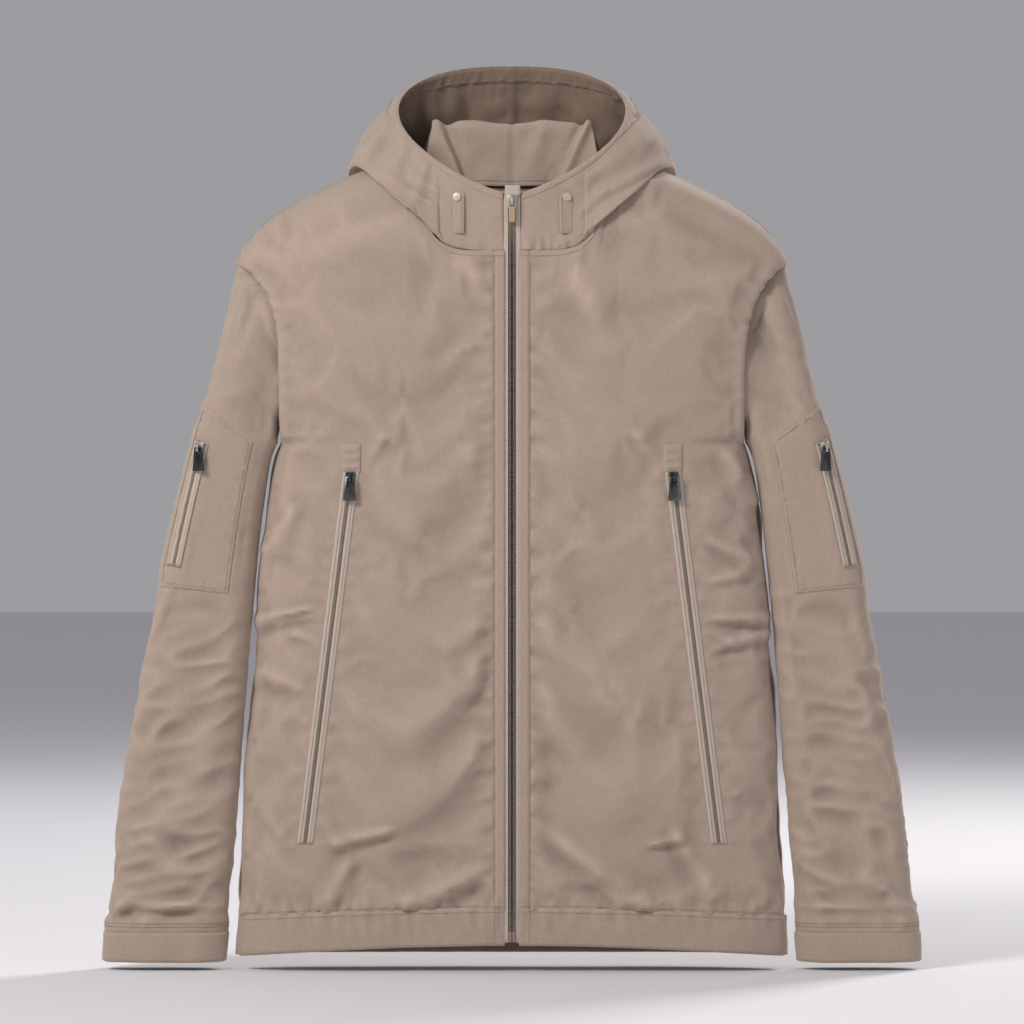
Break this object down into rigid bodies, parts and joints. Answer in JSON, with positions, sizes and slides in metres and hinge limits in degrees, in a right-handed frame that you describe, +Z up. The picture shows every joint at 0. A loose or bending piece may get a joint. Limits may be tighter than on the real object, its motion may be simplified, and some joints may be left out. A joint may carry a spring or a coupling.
{
  "type": "hooded zip jacket",
  "caption": "Hooded canvas jacket with a full-length front zip, two slanted front zip pockets, a zipped patch pocket on each sleeve, banded cuffs and hem, hood folded down.",
  "frame": {"origin": "middle of the neck opening, level with the back neck seam, where a hanger's hook or the wearer's neck passes", "axes": "+Z up from hem to hood, front faces -Y, the wearer's left is +X"},
  "size_m": [0.7638, 0.1477, 0.841],
  "materials": {
    "shell_canvas": "fine taupe woven canvas",
    "zip_tape": "lighter taupe tape",
    "lining": "inside of the shell, a little darker",
    "zip_teeth": "moulded zip teeth",
    "gunmetal": "dark gunmetal, satin",
    "silver_metal": "silver slider, satin"
  },
  "bodies": {
    "body": {"back_panel": "shell_canvas", "back_hem_band": "shell_canvas", "neck_tape": "zip_tape", "hood_nape": "lining", "front_side_left": "shell_canvas", "side_hem_band_left": "shell_canvas", "hood_side_left": "shell_canvas", "brim_side_left": "shell_canvas", "hand_pocket_welt_left": "zip_tape", "hand_pocket_tab_left": "shell_canvas", "hand_pocket_bag_left": "lining", "front_side_right": "shell_canvas", "side_hem_band_right": "shell_canvas", "hood_side_right": "shell_canvas", "brim_side_right": "shell_canvas", "hand_pocket_welt_right": "zip_tape", "hand_pocket_tab_right": "shell_canvas", "hand_pocket_bag_right": "lining"},
    "front_left": {"front_left": "shell_canvas", "front_hem_band_left": "shell_canvas", "collar_left": "shell_canvas", "zip_tape_left": "zip_tape", "zip_teeth_left": "zip_teeth", "zip_box": "zip_teeth", "zip_garage": "zip_tape"},
    "neck_tab_left": {"neck_tab_left": "shell_canvas", "tab_snap_left": "zip_tape"},
    "sleeve_left": {"sleeve_left": "shell_canvas", "cuff_left": "shell_canvas", "sleeve_pocket_left": "shell_canvas", "sleeve_pocket_welt_left": "zip_tape"},
    "hand_pocket_left_slider": {"hand_pocket_left_slider": "gunmetal"},
    "hand_pocket_left_pull": {"hand_pocket_left_pull": "gunmetal"},
    "sleeve_pocket_left_slider": {"sleeve_pocket_left_slider": "silver_metal"},
    "sleeve_pocket_left_pull": {"sleeve_pocket_left_pull": "gunmetal"},
    "front_right": {"front_right": "shell_canvas", "front_hem_band_right": "shell_canvas", "collar_right": "shell_canvas", "zip_tape_right": "zip_tape", "zip_teeth_right": "zip_teeth", "zip_pin": "zip_teeth"},
    "neck_tab_right": {"neck_tab_right": "shell_canvas", "tab_snap_right": "zip_tape"},
    "sleeve_right": {"sleeve_right": "shell_canvas", "cuff_right": "shell_canvas", "sleeve_pocket_right": "shell_canvas", "sleeve_pocket_welt_right": "zip_tape"},
    "hand_pocket_right_slider": {"hand_pocket_right_slider": "gunmetal"},
    "hand_pocket_right_pull": {"hand_pocket_right_pull": "gunmetal"},
    "sleeve_pocket_right_slider": {"sleeve_pocket_right_slider": "silver_metal"},
    "sleeve_pocket_right_pull": {"sleeve_pocket_right_pull": "gunmetal"},
    "main_slider": {"main_slider": "silver_metal"},
    "main_pull": {"main_pull": "zip_tape"},
    "hood": {"hood_pouch_left": "shell_canvas", "hood_pouch_right": "shell_canvas", "brim_back": "shell_canvas", "hood_fall": "lining"}
  },
  "joints": [
    {"name": "front_left_open", "type": "hinge", "parent": "body", "child": "front_left", "pos_m": [0.062, -0.0464, -0.058], "axis": [-0.1337, -0.0179, 0.9909], "range_deg": [0, 60]},
    {"name": "front_right_open", "type": "hinge", "parent": "body", "child": "front_right", "pos_m": [-0.062, -0.0464, -0.058], "axis": [-0.1337, 0.0179, -0.9909], "range_deg": [0, 60]},
    {"name": "main_slider_slide", "type": "slide", "parent": "front_left", "child": "main_slider", "axis": [0, 0.0168, -0.9999], "range_m": [0, 0.669]},
    {"name": "main_pull_swing", "type": "hinge", "parent": "main_slider", "child": "main_pull", "pos_m": [0, -0.04952, -0.018], "axis": [-1, 0, 0], "range_deg": [0, 80]},
    {"name": "sleeve_left_raise", "type": "hinge", "parent": "body", "child": "sleeve_left", "pos_m": [0.25, 0, -0.082], "axis": [0, -1, 0], "range_deg": [0, 60]},
    {"name": "neck_tab_left_fold", "type": "hinge", "parent": "front_left", "child": "neck_tab_left", "pos_m": [0.05148, -0.04526, -0.04672], "axis": [0.9759, 0.2182, 0], "range_deg": [0, 120]},
    {"name": "hand_pocket_left_slide", "type": "slide", "parent": "body", "child": "hand_pocket_left_slider", "axis": [0.124, 0.0231, -0.992], "range_m": [0, 0.333]},
    {"name": "hand_pocket_left_pull_swing", "type": "hinge", "parent": "hand_pocket_left_slider", "child": "hand_pocket_left_pull", "pos_m": [0.15, -0.04455, -0.2735], "axis": [-0.9956, -0.0938, 0], "range_deg": [0, 80]},
    {"name": "sleeve_pocket_left_slide", "type": "slide", "parent": "sleeve_left", "child": "sleeve_pocket_left_slider", "axis": [0.2237, 0, -0.9746], "range_m": [0, 0.105]},
    {"name": "sleeve_pocket_left_pull_swing", "type": "hinge", "parent": "sleeve_pocket_left_slider", "child": "sleeve_pocket_left_pull", "pos_m": [0.29108, -0.03135, -0.24581], "axis": [-0.8703, -0.4926, 0], "range_deg": [0, 80]},
    {"name": "sleeve_right_raise", "type": "hinge", "parent": "body", "child": "sleeve_right", "pos_m": [-0.25, 0, -0.082], "axis": [0, 1, 0], "range_deg": [0, 60]},
    {"name": "neck_tab_right_fold", "type": "hinge", "parent": "front_right", "child": "neck_tab_right", "pos_m": [-0.05148, -0.04526, -0.04672], "axis": [0.9759, -0.2182, 0], "range_deg": [0, 120]},
    {"name": "hand_pocket_right_slide", "type": "slide", "parent": "body", "child": "hand_pocket_right_slider", "axis": [-0.124, 0.0231, -0.992], "range_m": [0, 0.333]},
    {"name": "hand_pocket_right_pull_swing", "type": "hinge", "parent": "hand_pocket_right_slider", "child": "hand_pocket_right_pull", "pos_m": [-0.15, -0.04455, -0.2735], "axis": [-0.9956, 0.0938, 0], "range_deg": [0, 80]},
    {"name": "sleeve_pocket_right_slide", "type": "slide", "parent": "sleeve_right", "child": "sleeve_pocket_right_slider", "axis": [-0.2237, 0, -0.9746], "range_m": [0, 0.105]},
    {"name": "sleeve_pocket_right_pull_swing", "type": "hinge", "parent": "sleeve_pocket_right_slider", "child": "sleeve_pocket_right_pull", "pos_m": [-0.29108, -0.03135, -0.24581], "axis": [-0.8703, 0.4926, 0], "range_deg": [0, 80]},
    {"name": "hood_lift", "type": "hinge", "parent": "body", "child": "hood", "pos_m": [0, 0.0463, 0.06], "axis": [1, 0, 0], "range_deg": [0, 30]}
  ],
  "couplings": [
    {"joint": "front_right_open", "follows": "front_left_open", "ratio": 1},
    {"joint": "main_slider_slide", "follows": "front_left_open", "m_per_rad": 0.6387}
  ]
}
